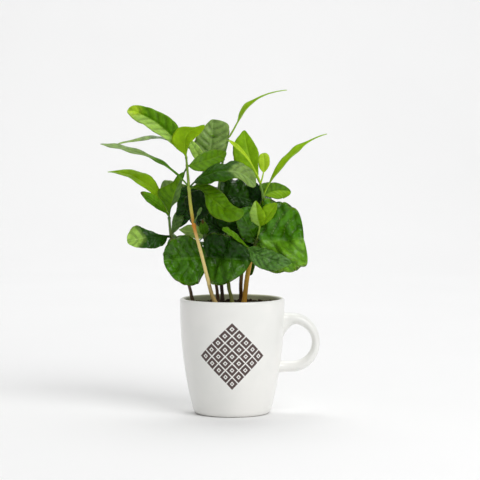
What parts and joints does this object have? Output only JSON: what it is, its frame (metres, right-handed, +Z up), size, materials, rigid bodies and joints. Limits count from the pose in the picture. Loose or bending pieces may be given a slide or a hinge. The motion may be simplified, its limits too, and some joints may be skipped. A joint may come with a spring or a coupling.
{
  "type": "potted coffee plant",
  "caption": "Clump of young coffee seedlings with broad glossy leaves, growing in potting soil in a plain white ceramic mug with a ring handle.",
  "frame": {"origin": "middle of the mug's flat underside", "axes": "+Z up along the mug's axis, +X towards the mug's handle, +Y to the back of the pictured view"},
  "size_m": [0.1856, 0.1087, 0.2669],
  "materials": {
    "ceramic": "satin",
    "soil": "matte",
    "pale_stem": "satin",
    "dark_stem": "satin",
    "green_stem": "satin",
    "young_leaf": "satin",
    "grown_leaf": "satin",
    "old_leaf": "satin"
  },
  "bodies": {
    "root": {"mug": "ceramic", "soil": "soil", "stem_front": "pale_stem", "stem_left": "dark_stem", "stem_inner": "dark_stem", "stem_tall": "dark_stem", "stem_centre": "green_stem", "stem_short": "dark_stem", "stem_right": "pale_stem", "foliage_front_top": "young_leaf", "foliage_front_upper": "grown_leaf", "foliage_front_middle": "grown_leaf", "foliage_left_top": "young_leaf", "foliage_left_low": "old_leaf", "foliage_inner_low": "old_leaf", "foliage_inner_middle": "grown_leaf", "foliage_inner_upper": "old_leaf", "foliage_inner_top": "grown_leaf", "foliage_tall_top": "young_leaf", "foliage_tall_middle": "old_leaf", "foliage_tall_low": "old_leaf", "foliage_centre_low": "old_leaf", "foliage_centre_top": "grown_leaf", "foliage_short_top": "old_leaf", "foliage_right_low": "old_leaf", "foliage_right_middle": "grown_leaf", "foliage_right_top": "young_leaf"}
  },
  "joints": []
}
